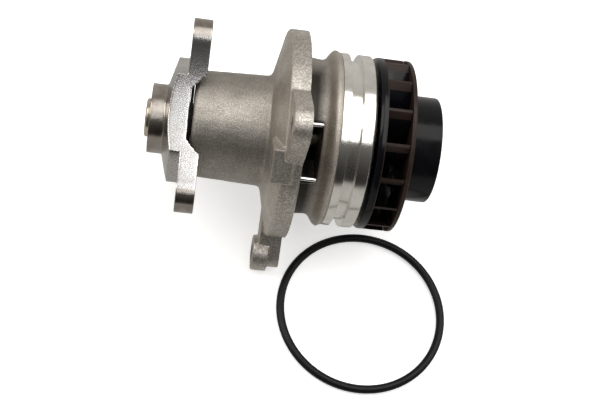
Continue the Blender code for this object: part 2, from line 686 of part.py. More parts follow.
def hub_outline():
    """Three round arm tips, joined by hollow arcs that touch them and the waist circle."""
    hollow_radius = ((ARM_BOLT_REACH ** 2 - ARM_BOLT_REACH * HUB_WAIST_RADIUS + HUB_WAIST_RADIUS ** 2
                      - ARM_TIP_RADIUS ** 2)
                     / (ARM_BOLT_REACH + 2.0 * ARM_TIP_RADIUS - 2.0 * HUB_WAIST_RADIUS))
    hollow_reach = HUB_WAIST_RADIUS + hollow_radius
    third = 2.0 * math.pi / 3.0
    lean = math.atan2(hollow_reach * math.sin(third / 2.0),
                      hollow_reach * math.cos(third / 2.0) - ARM_BOLT_REACH)
    outline = []
    for angle in ARM_ANGLES:
        outline += arc(polar(ARM_BOLT_REACH, angle), ARM_TIP_RADIUS, angle - lean, angle + lean, 8)
        hollow = arc(polar(hollow_reach, angle + third / 2.0), hollow_radius,
                     angle + math.pi + lean, angle + math.pi + third - lean, 12)
        outline += hollow[1:-1]
    return outline


def drive_hub():
    """Steel hub, pressed on the shaft: nose, coned disc and three tapped arms."""
    blank_radius = ARM_BOLT_REACH + ARM_TIP_RADIUS * 1.2
    profile = [
        (hub_back, blank_radius),
        (arm_front, blank_radius),
        (arm_front, HUB_DISC_RADIUS),
        (disc_front, HUB_DISC_RADIUS),
        (nose_root, NOSE_RADIUS),
        (nose_front + NOSE_EDGE, NOSE_RADIUS),
        (nose_front, NOSE_RADIUS - NOSE_EDGE),
        (nose_front, turning_bore + NOSE_MOUTH_WIDTH),
        (nose_front + NOSE_MOUTH_DEPTH, turning_bore),
        (recess_floor, turning_bore),
        (recess_floor, recess_floor_radius),
        (hub_back, recess_floor_radius + RECESS_FLARE),
    ]
    hub = hang(turned("drive_hub", profile), shaft_axis, "turned steel")
    margin = 0.001
    plan = plate("hub plan", hub_outline(), nose_front - margin, hub_back + margin)
    combine(hub, "INTERSECT", as_cutter(plan))
    for number, angle in enumerate(ARM_ANGLES, 1):
        drill = rod("arm hole %d" % number, ARM_HOLE_RADIUS, arm_front - margin, hub_back + margin,
                    polar(ARM_BOLT_REACH, angle))
        combine(hub, "DIFFERENCE", as_cutter(drill))


def slinger():
    """Thin rubber disc on the shaft, which keeps dirt out of the gap between the hub and the barrel."""
    front = recess_floor + FIT_GAP
    back = barrel_front - SLINGER_BARREL_GAP
    radius = barrel_front_radius - BARREL_END_CHAMFER - SLINGER_EDGE_SETBACK
    disc = [(back, radius), (front, radius), (front, turning_bore), (back, turning_bore)]
    hang(turned("slinger", disc), shaft_axis, "rubber")


def vane_outline(root):
    """All the vanes in one outline: each leans back along its way from the hub to the rim."""
    steps = 4
    tip = IMPELLER_RADIUS
    pitch = 2.0 * math.pi / VANE_COUNT
    outline = []
    for vane in range(VANE_COUNT):
        side = []
        for i in range(steps + 1):
            radius = root + (tip - root) * i / steps
            angle = VANE_PHASE + pitch * vane - VANE_SWEEP * (1.0 - i / steps)
            side.append((radius, angle, VANE_THICKNESS / 2.0 / radius))
        outline += [polar(radius, angle - half) for radius, angle, half in side]
        outline += [polar(radius, angle + half) for radius, angle, half in reversed(side)]
    return outline


def impeller():
    """Moulded back disc with its vanes, and the metal bush that presses on the shaft."""
    edge = 0.001
    root_depth = 0.0005
    profile = [
        (impeller_hub_back, impeller_hub_radius - edge),
        (impeller_hub_back - edge, impeller_hub_radius),
        (disc_back, impeller_hub_radius),
        (disc_back, IMPELLER_RADIUS),
        (impeller_front + IMPELLER_BEVEL, IMPELLER_RADIUS),
        (impeller_front, IMPELLER_RADIUS - IMPELLER_BEVEL / 2.0),
        (impeller_front, impeller_hub_radius),
        (impeller_hub_front, impeller_hub_radius),
        (impeller_hub_front, impeller_bore),
        (impeller_hub_back, impeller_bore),
    ]
    disc = hang(turned("impeller", profile), shaft_axis, "brown plastic")
    hole = arc(Vector((0.0, 0.0)), impeller_bore + IMPELLER_HUB_WALL / 2.0, 0.0, 2.0 * math.pi, 24)[:-1]
    vanes = plate("vanes", vane_outline(impeller_hub_radius - root_depth), disc_back - root_depth,
                  shroud_front - FIT_GAP, hole)
    combine(disc, "UNION", as_cutter(vanes))
    bush = [(impeller_hub_back, insert_radius), (impeller_hub_front, insert_radius),
            (impeller_hub_front, turning_bore), (impeller_hub_back, turning_bore)]
    hang(turned("impeller_insert", bush, BORE_STEPS), shaft_axis, "brass")


def impeller_shroud():
    """Front ring over the vanes, with the inlet neck."""
    neck_bore = NECK_RADIUS - NECK_WALL
    profile = [
        (neck_back, NECK_RADIUS - NECK_EDGE),
        (neck_back - NECK_EDGE, NECK_RADIUS),
        (shroud_back, NECK_RADIUS),
        (shroud_back, IMPELLER_RADIUS - NECK_EDGE),
        (shroud_back - NECK_EDGE, IMPELLER_RADIUS),
        (shroud_front, IMPELLER_RADIUS),
        (shroud_front, neck_bore + SHROUD_SHEET / 2.0),
        (shroud_back, neck_bore),
        (neck_back, neck_bore),
    ]
    hang(turned("impeller_shroud", profile), shaft_axis, "black plastic")


def loose_o_ring():
    """Rubber ring for the groove of the housing, lying flat beside it."""
    place = empty("loose_ring")
    place.location = (axis_origin.x + o_ring_station, axis_origin.y + o_ring_side, O_RING_SECTION_RADIUS)
    sides = 12
    section = []
    for i in range(sides):
        point = polar(O_RING_SECTION_RADIUS, math.pi / 2.0 - 2.0 * math.pi * i / sides)
        section.append((point.y, o_ring_radius + point.x))
    hang(turned("o_ring", section), place, "rubber")


pump_housing()
window_pins()
bearing()
pump_shaft()
ball_rows()
fixed_seal_half()
turning_seal_half()
drive_hub()
slinger()
impeller()
impeller_shroud()
loose_o_ring()
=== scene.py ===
"""Looks of an engine coolant pump and the loose sealing ring of its housing, on a plain pale bench.

Metres, +Z up. The shaft runs along X, with the drive hub towards -X and the impeller towards +X. Axial
stations count from the mounting face of the flange. Angles about the shaft are 0 towards +Y, 90 upwards.
"""
import json
import math

import bmesh
import bpy
from mathutils import Matrix, Vector


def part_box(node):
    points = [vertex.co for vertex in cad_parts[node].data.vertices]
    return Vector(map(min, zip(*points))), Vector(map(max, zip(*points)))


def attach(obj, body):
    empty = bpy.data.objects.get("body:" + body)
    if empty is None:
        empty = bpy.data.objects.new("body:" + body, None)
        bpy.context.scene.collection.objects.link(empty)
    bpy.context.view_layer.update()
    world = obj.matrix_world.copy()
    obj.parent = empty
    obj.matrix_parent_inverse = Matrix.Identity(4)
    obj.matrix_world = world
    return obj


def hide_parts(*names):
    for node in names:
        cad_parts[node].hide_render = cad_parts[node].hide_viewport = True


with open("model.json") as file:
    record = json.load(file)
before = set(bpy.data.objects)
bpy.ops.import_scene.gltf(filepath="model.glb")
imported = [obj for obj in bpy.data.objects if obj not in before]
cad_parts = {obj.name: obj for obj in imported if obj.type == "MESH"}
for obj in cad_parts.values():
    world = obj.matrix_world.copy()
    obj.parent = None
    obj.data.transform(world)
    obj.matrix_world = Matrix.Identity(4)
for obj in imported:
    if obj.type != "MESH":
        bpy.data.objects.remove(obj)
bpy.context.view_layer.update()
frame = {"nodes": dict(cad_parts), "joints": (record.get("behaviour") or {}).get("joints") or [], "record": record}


# Where the pump lies: the shaft's line comes from its joint, and station 0 from the mounting face
shaft_line = Vector(next(j for j in frame["joints"] if j["name"] == "shaft_spin")["pos_m"])
face_station = next(m for m in frame["record"]["mounts"] if m["name"] == "mounting_face")["pos_m"][0]


def on_pump(station, radius=0.0, angle=0.0):
    """The place at a station along the shaft, at a radius and an angle about it."""
    return Vector((face_station + station, shaft_line.y + radius * math.cos(angle),
                   shaft_line.z + radius * math.sin(angle)))


# Camera, bench and light
# A long lens looks down on the pump from in front of it. The bench is matt white board that glows a
# little, as a light table does, and the metal mirrors a dimmer table. A softbox hangs over each end of
# the pump, and a narrow strip lamp between them runs from front to back.
LENS = 0.066
CAMERA_FROM_AXIS = Vector((-0.0472, -0.2468, 0.3887))
LOOK_DOWN = math.radians(60.3)
LOOK_ACROSS = math.radians(13.2)
CAMERA_ROLL = math.radians(17.87)
BENCH_SIZE = 4.0
LAMP_DISTANCE = 1.2
MILLIMETRES = 1000.0

camera = bpy.data.objects.new("camera", bpy.data.cameras.new("camera"))
bpy.context.scene.collection.objects.link(camera)
camera.data.lens = LENS * MILLIMETRES
camera.data.clip_start = 0.01
camera.matrix_world = (Matrix.Translation(on_pump(0.0) + CAMERA_FROM_AXIS)
                       @ Matrix.Rotation(-LOOK_ACROSS, 4, "Z")
                       @ Matrix.Rotation(math.pi / 2.0 - LOOK_DOWN, 4, "X")
                       @ Matrix.Rotation(CAMERA_ROLL, 4, "Z"))
bpy.context.scene.camera = camera
bpy.context.scene.view_settings.view_transform = "Standard"


def node(tree, kind, **settings):
    """A shader node with its settings, and plain values for the sockets that are named with a capital."""
    made = tree.nodes.new(kind)
    for name, value in settings.items():
        if name[0].isupper():
            made.inputs[name.replace("_", " ")].default_value = value
        else:
            setattr(made, name, value)
    return made


def colour(red, green, blue):
    return (red, green, blue, 1.0)


def white_board():
    """Matt white board with a faint paper tooth, lit a little from below."""
    finish = bpy.data.materials.new("white board")
    finish.use_nodes = True
    tree = finish.node_tree
    shader = tree.nodes["Principled BSDF"]
    place = node(tree, "ShaderNodeTexCoord")
    tooth = node(tree, "ShaderNodeTexNoise", Scale=900.0, Detail=2.0)
    tone = node(tree, "ShaderNodeMapRange", To_Min=0.86, To_Max=0.90)
    tree.links.new(place.outputs["Object"], tooth.inputs["Vector"])
    tree.links.new(tooth.outputs["Fac"], tone.inputs["Value"])
    tree.links.new(tone.outputs["Result"], shader.inputs["Base Color"])
    shader.inputs["Roughness"].default_value = 0.9
    shader.inputs["Specular IOR Level"].default_value = 0.1
    shader.inputs["Emission Color"].default_value = colour(1.0, 1.0, 1.0)
    shader.inputs["Emission Strength"].default_value = 0.55
    return finish


bpy.ops.object.select_all(action="DESELECT")
bpy.ops.mesh.primitive_plane_add(size=BENCH_SIZE, location=(0.0, 0.0, 0.0))
bench = bpy.context.object
bench.name = "bench"
bench.data.materials.append(white_board())
bench.visible_glossy = False


def softbox(name, elevation, lean, width, depth, power, tint):
    """A rectangular lamp that faces the pump. Elevation 0 is level in front of it, 90 is overhead. A lean
    moves it towards the impeller's end."""
    lamp = bpy.data.lights.new(name, "AREA")
    lamp.shape = "RECTANGLE"
    lamp.size = width
    lamp.size_y = depth
    lamp.energy = power
    lamp.color = tint
    holder = bpy.data.objects.new(name, lamp)
    bpy.context.scene.collection.objects.link(holder)
    rise = math.radians(elevation)
    aside = math.radians(lean)
    away = Vector((math.sin(aside), -math.cos(rise) * math.cos(aside), math.sin(rise) * math.cos(aside)))
    holder.matrix_world = (Matrix.Translation(on_pump(0.0) + away * LAMP_DISTANCE)
                           @ Matrix.Rotation(math.pi / 2.0 - rise, 4, "X") @ Matrix.Rotation(aside, 4, "Y"))


WARM = (1.0, 0.97, 0.93)
softbox("left softbox", elevation=98.0, lean=-42.0, width=1.2, depth=0.7, power=7.6, tint=WARM)
softbox("right softbox", elevation=98.0, lean=42.0, width=1.2, depth=0.7, power=5.4, tint=WARM)
softbox("key lamp", elevation=90.0, lean=9.0, width=0.36, depth=1.5, power=5.2, tint=(0.98, 0.99, 1.0))

room = bpy.data.worlds.new("room")
bpy.context.scene.world = room
room.use_nodes = True
room_tree = room.node_tree
room_place = node(room_tree, "ShaderNodeTexCoord")
room_axes = node(room_tree, "ShaderNodeSeparateXYZ")
room_depth = node(room_tree, "ShaderNodeMapRange", From_Min=-1.0, From_Max=1.0, To_Min=0.02, To_Max=0.55)
room_table = node(room_tree, "ShaderNodeMapRange", From_Min=-0.12, From_Max=0.0, To_Min=0.46, To_Max=0.0)
room_light = node(room_tree, "ShaderNodeMath", operation="MAXIMUM")
room_tree.links.new(room_place.outputs["Generated"], room_axes.inputs["Vector"])
room_tree.links.new(room_axes.outputs["Y"], room_depth.inputs["Value"])
room_tree.links.new(room_axes.outputs["Z"], room_table.inputs["Value"])
room_tree.links.new(room_depth.outputs["Result"], room_light.inputs[0])
room_tree.links.new(room_table.outputs["Result"], room_light.inputs[1])
room_tree.links.new(room_light.outputs["Value"], room_tree.nodes["Background"].inputs["Strength"])
room_tree.nodes["Background"].inputs["Color"].default_value = colour(1.0, 0.975, 0.925)


# Housing casting
# Sand-cast aluminium: bearing barrel, flange with an upper lug, two lower bosses on webs, a raised pad
# and a drain spool, all with soft edges. The bore, the bolt holes and the flange's back are machined.
BARREL_FRONT = -0.0435
BARREL_RADII = (0.02206, 0.02311)
BARREL_END_CHAMFER = 0.0014
CONE_FOOT = -0.0128
CONE_BLEND = 0.0016
CONE_ROOT = -0.0116
CONE_ROOT_RADIUS = 0.0262
FLANGE_RADIUS = 0.0435
FLANGE_THICKNESS = 0.0070
FLANGE_LIP = 0.0008
WAIST_RADIUS = 0.0330
WAIST_DIP = 0.0005
WAIST_END = 0.0070
COLLAR_PEAK = 0.0371
COLLAR_PEAK_STATION = 0.0126
COLLAR_SHARPNESS = 3.2
RING_FRONT = 0.0143
RING_RADIUS = 0.0363
LUG_ANGLE = math.radians(118.5)
LUG_REACH = 0.0610
LUG_TIP_RADIUS = 0.0080
LUG_TIP_TURN = math.radians(65.5)
LUG_ROOT = 0.0348
LUG_ROOT_HALF_WIDTH = 0.0172
LUG_HOLE_REACH = 0.0525
BOSS_ANGLES = (math.radians(225.0), math.radians(315.0))
BOSS_REACH = 0.0537
BOSS_RADIUS = 0.0076
BOSS_FRONT = -0.0117
BOSS_DEPTH = 0.0067
BOSS_NECK_RADIUS = 0.00565
WEB_FRONT = -0.0096
PAD_ANGLE = math.radians(139.2)
PAD_SPAN = (0.0300, 0.0448)
PAD_HALF_WIDTH = 0.0069
PAD_FRONT = -0.0118
BOLT_HOLE_RADIUS = 0.0034
WINDOW_STATIONS = (0.0010, 0.0076)
WINDOW_ANGLES = (math.radians(111.5), math.radians(157.3))
CHAMBER_RADIUS = 0.01696
BEARING_BORE = 0.01526
MACHINING_STOCK = 0.0006
CASTING_VOXEL = 0.00042
MERGE = 0.000002


def only(piece):
    """Make one piece the only one selected, and the active one."""
    if bpy.context.object and bpy.context.object.mode == "EDIT":
        bpy.ops.object.mode_set(mode="OBJECT")
    bpy.ops.object.select_all(action="DESELECT")
    piece.select_set(True)
    bpy.context.view_layer.objects.active = piece
    return piece


def place_in_mesh(piece):
    """Leave the object itself at the origin, unturned, with its place in its mesh."""
    only(piece)
    bpy.ops.object.transform_apply(location=True, rotation=True, scale=True)
    return piece


def pick(piece, wanted):
    """Select the points of the piece being edited whose place is wanted."""
    mesh = bmesh.from_edit_mesh(piece.data)
    for point in mesh.verts:
        point.select_set(bool(wanted(point.co)))
    mesh.select_flush_mode()
    bmesh.update_edit_mesh(piece.data)


def draw(name, points):
    """A line drawn point after point, from a primitive merged to its first point. Stays in edit mode."""
    bpy.ops.object.select_all(action="DESELECT")
    bpy.ops.mesh.primitive_plane_add(size=0.001, location=points[0])
    piece = place_in_mesh(bpy.context.object)
    piece.name = name
    bpy.ops.object.mode_set(mode="EDIT")
    bpy.ops.mesh.select_mode(type="VERT")
    bpy.ops.mesh.select_all(action="SELECT")
    bpy.ops.mesh.merge(type="CENTER")
    for before, after in zip(points, points[1:]):
        bpy.ops.mesh.extrude_vertices_move(TRANSFORM_OT_translate={"value": after - before})
    return piece


def close_up():
    """Merge what meets and turn every face outwards."""
    bpy.ops.mesh.select_all(action="SELECT")
    bpy.ops.mesh.remove_doubles(threshold=MERGE)
    bpy.ops.mesh.normals_make_consistent(inside=False)


def turned(name, section, sides=128, closed=True):
    """A lathe piece from half its section: stations and radii, with a third number to round a corner."""
    points = [on_pump(corner[0], corner[1]) for corner in section]
    piece = draw(name, points + points[:1] if closed else points)
    bpy.ops.mesh.select_all(action="SELECT")
    bpy.ops.mesh.remove_doubles(threshold=MERGE)
    for rounding in sorted({corner[2] for corner in section if len(corner) > 2}):
        corners = [on_pump(*corner[:2]) for corner in section if len(corner) > 2 and corner[2] == rounding]
        pick(piece, lambda place: any((place - corner).length < MERGE * 5 for corner in corners))
        bpy.ops.mesh.bevel(offset=rounding, segments=5, affect="VERTICES")
    bpy.ops.mesh.select_all(action="SELECT")
    bpy.ops.mesh.spin(steps=sides, angle=2.0 * math.pi, center=on_pump(0.0), axis=(1.0, 0.0, 0.0))
    close_up()
    bpy.ops.object.mode_set(mode="OBJECT")
    return piece


def slab(name, outline, front, back):
    """A flat outline across the shaft, as (radius, angle) points, filled and pulled back to its thickness."""
    points = [on_pump(front, radius, angle) for radius, angle in outline]
    piece = draw(name, points)
    bpy.ops.mesh.select_all(action="SELECT")
    bpy.ops.mesh.edge_face_add()
    bpy.ops.mesh.extrude_region_move(TRANSFORM_OT_translate={"value": (back - front, 0.0, 0.0)})
    close_up()
    bpy.ops.object.mode_set(mode="OBJECT")
    return piece


def bar(name, radius, front, back, centre=(0.0, 0.0), sides=48):
    """A round bar along the shaft's direction, its centre at a radius and an angle about the shaft."""
    bpy.ops.object.select_all(action="DESELECT")
    bpy.ops.mesh.primitive_cylinder_add(vertices=sides, radius=radius, depth=back - front,
                                        location=on_pump((front + back) / 2.0, *centre),
                                        rotation=(0.0, math.pi / 2.0, 0.0))
    piece = place_in_mesh(bpy.context.object)
    piece.name = name
    return piece


def work(piece, operation, tool):
    """Join a piece to another, or cut or trim it with it, and use the other up."""
    only(piece)
    step = piece.modifiers.new("work", "BOOLEAN")
    step.operation = operation
    step.solver = "MANIFOLD"
    step.object = tool
    bpy.ops.object.modifier_apply(modifier=step.name)
    bpy.data.objects.remove(tool, do_unlink=True)
    return piece


def apply_new(piece, kind, **settings):
    """Add a modifier with its settings and apply it."""
    only(piece)
    step = piece.modifiers.new(kind.lower(), kind)
    for name, value in settings.items():
        setattr(step, name, value)
    bpy.ops.object.modifier_apply(modifier=step.name)
    return piece


def soften(piece, voxel, passes, keep):
    """The soft edges of a casting or a moulding: one fine skin, smoothed, then thinned where it is flat."""
    apply_new(piece, "REMESH", mode="VOXEL", voxel_size=voxel)
    apply_new(piece, "SMOOTH", factor=0.5, iterations=passes)
    apply_new(piece, "DECIMATE", ratio=keep)
    return piece


def shade(piece, degrees=35.0):
    only(piece)
    bpy.ops.object.shade_smooth_by_angle(angle=math.radians(degrees))
    return piece


def cover(piece, *finishes):
    """Give a piece its finishes, the first one all over."""
    piece.data.materials.clear()
    for finish in finishes:
        piece.data.materials.append(finish)
    for face in piece.data.polygons:
        face.material_index = 0


def off_shaft(face):
    """How far a face's middle lies from the shaft's line."""
    return math.hypot(face.center.y - shaft_line.y, face.center.z - shaft_line.z)


def corner_points(corners):
    """Straight-sided outlines given across and along a direction, as (radius, angle) points."""
    return [(math.hypot(along, across), math.atan2(across, along) + direction)
            for along, across, direction in corners]


collar = []
for i in range(1, 12):
    swell = math.cos(math.pi / 2.0 * i / 12) ** COLLAR_SHARPNESS
    dip = WAIST_RADIUS - WAIST_DIP
    collar.append((COLLAR_PEAK_STATION - (COLLAR_PEAK_STATION - WAIST_END) * i / 12,
                   dip + (COLLAR_PEAK - dip) * swell))
casting = turned("housing_casting", [
    (BARREL_FRONT, 0.0),
    (BARREL_FRONT, BARREL_RADII[0] - BARREL_END_CHAMFER),
    (BARREL_FRONT + BARREL_END_CHAMFER, BARREL_RADII[0]),
    (CONE_FOOT - CONE_BLEND, BARREL_RADII[1]),
    (CONE_FOOT, BARREL_RADII[1] + CONE_BLEND / 4.0),
    (CONE_ROOT, CONE_ROOT_RADIUS),
    (-FLANGE_THICKNESS - FLANGE_LIP, FLANGE_RADIUS - 0.0005),
    (-FLANGE_THICKNESS, FLANGE_RADIUS),
    (MACHINING_STOCK, FLANGE_RADIUS),
    (MACHINING_STOCK, WAIST_RADIUS),
    (WAIST_END, WAIST_RADIUS - WAIST_DIP),
    *reversed(collar),
    (COLLAR_PEAK_STATION, COLLAR_PEAK),
    (RING_FRONT, RING_RADIUS - 0.0001),
    (RING_FRONT, 0.0),
], sides=160, closed=False)

lug_steps = 14
lug_corners = [(LUG_ROOT, -LUG_ROOT_HALF_WIDTH, LUG_ANGLE)]
for i in range(lug_steps + 1):
    turn = LUG_TIP_TURN * (2.0 * i / lug_steps - 1.0)
    lug_corners.append((LUG_REACH - LUG_TIP_RADIUS * (1.0 - math.cos(turn)), LUG_TIP_RADIUS * math.sin(turn),
                        LUG_ANGLE))
lug_corners.append((LUG_ROOT, LUG_ROOT_HALF_WIDTH, LUG_ANGLE))
lug = slab("lug", corner_points(lug_corners), -FLANGE_THICKNESS, MACHINING_STOCK)
work(casting, "UNION", lug)

for angle in BOSS_ANGLES:
    web = slab("web", corner_points([
        (BARREL_RADII[0], -BOSS_NECK_RADIUS, angle),
        (BOSS_REACH, -BOSS_NECK_RADIUS, angle),
        (BOSS_REACH, BOSS_NECK_RADIUS, angle),
        (BARREL_RADII[0], BOSS_NECK_RADIUS, angle),
    ]), WEB_FRONT, MACHINING_STOCK)
    work(casting, "UNION", web)
    boss = bar("boss", BOSS_RADIUS, BOSS_FRONT, BOSS_FRONT + BOSS_DEPTH, (BOSS_REACH, angle))
    work(casting, "UNION", boss)
    neck = bar("neck", BOSS_NECK_RADIUS, BOSS_FRONT + BOSS_DEPTH / 2.0, MACHINING_STOCK, (BOSS_REACH, angle))
    work(casting, "UNION", neck)

pad = slab("pad", corner_points([
    (PAD_SPAN[0], -PAD_HALF_WIDTH, PAD_ANGLE),
    (PAD_SPAN[1], -PAD_HALF_WIDTH, PAD_ANGLE),
    (PAD_SPAN[1], PAD_HALF_WIDTH, PAD_ANGLE),
    (PAD_SPAN[0], PAD_HALF_WIDTH, PAD_ANGLE),
]), PAD_FRONT, -FLANGE_THICKNESS / 2.0)
work(casting, "UNION", pad)

window_steps = 10
window_turn = (WINDOW_ANGLES[1] - WINDOW_ANGLES[0]) / window_steps
window = [(COLLAR_PEAK + 0.002, WINDOW_ANGLES[0] + window_turn * i) for i in range(window_steps + 1)]
window += [(CHAMBER_RADIUS - 0.002, WINDOW_ANGLES[1] - window_turn * i) for i in range(window_steps + 1)]
work(casting, "DIFFERENCE", slab("window core", window, *WINDOW_STATIONS))
soften(casting, CASTING_VOXEL, 6, 0.5)

sand = bpy.data.textures.new("sand swell", "CLOUDS")
sand.noise_scale = 0.004
sand.noise_depth = 2
apply_new(casting, "DISPLACE", texture=sand, strength=0.00022, texture_coords="LOCAL")

SEAL_BORE = (0.0090, 0.0135, 0.01516)
BOWL = (0.01996, 0.0295, 0.0280)
bore = turned("bore tool", [
    (BARREL_FRONT - 0.001, 0.0), (BARREL_FRONT - 0.001, BEARING_BORE + 0.0013),
    (BARREL_FRONT + 0.0003, BEARING_BORE),
    (-0.0051, BEARING_BORE), (-0.0051, BEARING_BORE - 0.0013), (-0.0038, BEARING_BORE - 0.0013),
    (-0.0038, CHAMBER_RADIUS), (SEAL_BORE[0], CHAMBER_RADIUS), (SEAL_BORE[0], SEAL_BORE[2]),
    (SEAL_BORE[1], SEAL_BORE[2]), (SEAL_BORE[1], BOWL[0]), (BOWL[2], BOWL[1]), (BOWL[2], 0.0),
], closed=False)
work(casting, "DIFFERENCE", bore)
facing_radius = 0.08
TOOL_OVERRUN = 0.002
facing = turned("facing tool", [
    (0.0, WAIST_RADIUS), (0.0, facing_radius), (TOOL_OVERRUN, facing_radius), (TOOL_OVERRUN, WAIST_RADIUS),
])
work(casting, "DIFFERENCE", facing)
drillings = [(LUG_HOLE_REACH, LUG_ANGLE)] + [(BOSS_REACH, angle) for angle in BOSS_ANGLES]
for place in drillings:
    drill = bar("drill", BOLT_HOLE_RADIUS, BOSS_FRONT - TOOL_OVERRUN, TOOL_OVERRUN, place)
    work(casting, "DIFFERENCE", drill)
shade(casting, 32.0)


def grained_metal(name, light, dark, roughness, grain, grain_height, speckle=0.5, seed=0.0, painted_shade=None,
                  painted_light=None, metal=1.0):
    """Bare metal whose colour, polish and surface vary with a fine grain and a broad, slow patchiness.
    A painted shade gives two stations and two heights towards the top: a near-black painted shade before the
    first, none after the second.
    A painted light gives two stations, across which the metal is painted lighter as if lit there, and how many
    times lighter."""
    finish = bpy.data.materials.new(name)
    finish.use_nodes = True
    tree = finish.node_tree
    shader = tree.nodes["Principled BSDF"]
    place = node(tree, "ShaderNodeTexCoord")
    fine = node(tree, "ShaderNodeTexNoise", noise_dimensions="4D", W=seed, Scale=1.0 / grain, Detail=3.0,
                Roughness=0.6)
    broad = node(tree, "ShaderNodeTexNoise", noise_dimensions="4D", W=seed + 3.0, Scale=90.0, Detail=3.0)
    for texture in (fine, broad):
        tree.links.new(place.outputs["Object"], texture.inputs["Vector"])
    flecks = node(tree, "ShaderNodeMapRange", From_Min=0.44, From_Max=0.60)
    patches = node(tree, "ShaderNodeMapRange", From_Min=0.35, From_Max=0.65)
    tree.links.new(fine.outputs["Fac"], flecks.inputs["Value"])
    tree.links.new(broad.outputs["Fac"], patches.inputs["Value"])
    blend = node(tree, "ShaderNodeMix", data_type="FLOAT", Factor=speckle)
    tree.links.new(patches.outputs["Result"], blend.inputs[2])
    tree.links.new(flecks.outputs["Result"], blend.inputs[3])
    tone = node(tree, "ShaderNodeMix", data_type="RGBA")
    tone.inputs[6].default_value = colour(*dark)
    tone.inputs[7].default_value = colour(*light)
    tree.links.new(blend.outputs[0], tone.inputs["Factor"])
    metal_colour = tone.outputs[2]
    axes = node(tree, "ShaderNodeSeparateXYZ")
    tree.links.new(place.outputs["Object"], axes.inputs["Vector"])
    # Painted light: from the first station to the second the colour is made lighter, as if lit, and stays so
    # beyond.
    if painted_light:
        gain = node(tree, "ShaderNodeMapRange", From_Min=on_pump(painted_light[0]).x,
                    From_Max=on_pump(painted_light[1]).x, To_Min=1.0, To_Max=painted_light[2])
        lighter = node(tree, "ShaderNodeHueSaturation")
        tree.links.new(axes.outputs["X"], gain.inputs["Value"])
        tree.links.new(gain.outputs["Result"], lighter.inputs["Value"])
        tree.links.new(metal_colour, lighter.inputs["Color"])
        metal_colour = lighter.outputs["Color"]
    # Painted shade: before a station and below a height the colour goes over to a near-black tone.
    if painted_shade:
        along = node(tree, "ShaderNodeMapRange", From_Min=on_pump(painted_shade[0]).x, From_Max=on_pump(painted_shade[1]).x)
        top = Vector((0.0, math.cos(PAINTED_SHADE_LEAN), math.sin(PAINTED_SHADE_LEAN)))
        height = node(tree, "ShaderNodeVectorMath", operation="DOT_PRODUCT")
        height.inputs[1].default_value = top
        above = node(tree, "ShaderNodeMapRange", From_Min=on_pump(0.0).dot(top) + painted_shade[2],
                     From_Max=on_pump(0.0).dot(top) + painted_shade[3])
        unshaded = node(tree, "ShaderNodeMath", operation="MAXIMUM")
        shade_mix = node(tree, "ShaderNodeMix", data_type="RGBA")
        shade_mix.inputs[6].default_value = colour(*PAINTED_SHADE_TONE)
        tree.links.new(axes.outputs["X"], along.inputs["Value"])
        tree.links.new(place.outputs["Object"], height.inputs[0])
        tree.links.new(height.outputs["Value"], above.inputs["Value"])
        tree.links.new(along.outputs["Result"], unshaded.inputs[0])
        tree.links.new(above.outputs["Result"], unshaded.inputs[1])
        tree.links.new(unshaded.outputs["Value"], shade_mix.inputs["Factor"])
        tree.links.new(metal_colour, shade_mix.inputs[7])
        metal_colour = shade_mix.outputs[2]
    tree.links.new(metal_colour, shader.inputs["Base Color"])
    polish = node(tree, "ShaderNodeMapRange", To_Min=roughness + 0.06, To_Max=roughness - 0.06)
    tree.links.new(blend.outputs[0], polish.inputs["Value"])
    tree.links.new(polish.outputs["Result"], shader.inputs["Roughness"])
    bump = node(tree, "ShaderNodeBump", Strength=1.0, Distance=grain_height)
    tree.links.new(fine.outputs["Fac"], bump.inputs["Height"])
    tree.links.new(bump.outputs["Normal"], shader.inputs["Normal"])
    shader.inputs["Metallic"].default_value = metal
    return finish


def turned_metal(name, light, dark, roughness, line, line_height):
    """Bright machined metal: fine rings round the shaft, and a highlight that is drawn across them."""
    finish = bpy.data.materials.new(name)
    finish.use_nodes = True
    tree = finish.node_tree
    shader = tree.nodes["Principled BSDF"]
    place = node(tree, "ShaderNodeTexCoord")
    axes = node(tree, "ShaderNodeSeparateXYZ")
    tree.links.new(place.outputs["Object"], axes.inputs["Vector"])
    lines = node(tree, "ShaderNodeTexNoise", noise_dimensions="1D", Scale=1.0 / line, Detail=3.0,
                 Roughness=0.7)
    tree.links.new(axes.outputs["X"], lines.inputs["W"])
    stain = node(tree, "ShaderNodeTexNoise", Scale=140.0, Detail=3.0)
    tree.links.new(place.outputs["Object"], stain.inputs["Vector"])
    tone = node(tree, "ShaderNodeMix", data_type="RGBA")
    tone.inputs[6].default_value = colour(*dark)
    tone.inputs[7].default_value = colour(*light)
    spread = node(tree, "ShaderNodeMapRange", From_Min=0.3, From_Max=0.6)
    tree.links.new(stain.outputs["Fac"], spread.inputs["Value"])
    tree.links.new(spread.outputs["Result"], tone.inputs["Factor"])
    tree.links.new(tone.outputs[2], shader.inputs["Base Color"])
    polish = node(tree, "ShaderNodeMapRange", To_Min=roughness - 0.05, To_Max=roughness + 0.07)
    tree.links.new(lines.outputs["Fac"], polish.inputs["Value"])
    tree.links.new(polish.outputs["Result"], shader.inputs["Roughness"])
    bump = node(tree, "ShaderNodeBump", Strength=1.0, Distance=line_height)
    tree.links.new(lines.outputs["Fac"], bump.inputs["Height"])
    tree.links.new(bump.outputs["Normal"], shader.inputs["Normal"])
    shader.inputs["Metallic"].default_value = 1.0
    shader.inputs["Anisotropic"].default_value = 0.75
    shader.inputs["Anisotropic Rotation"].default_value = 0.25
    turn = node(tree, "ShaderNodeTangent", direction_type="RADIAL", axis="X")
    tree.links.new(turn.outputs["Tangent"], shader.inputs["Tangent"])
    return finish


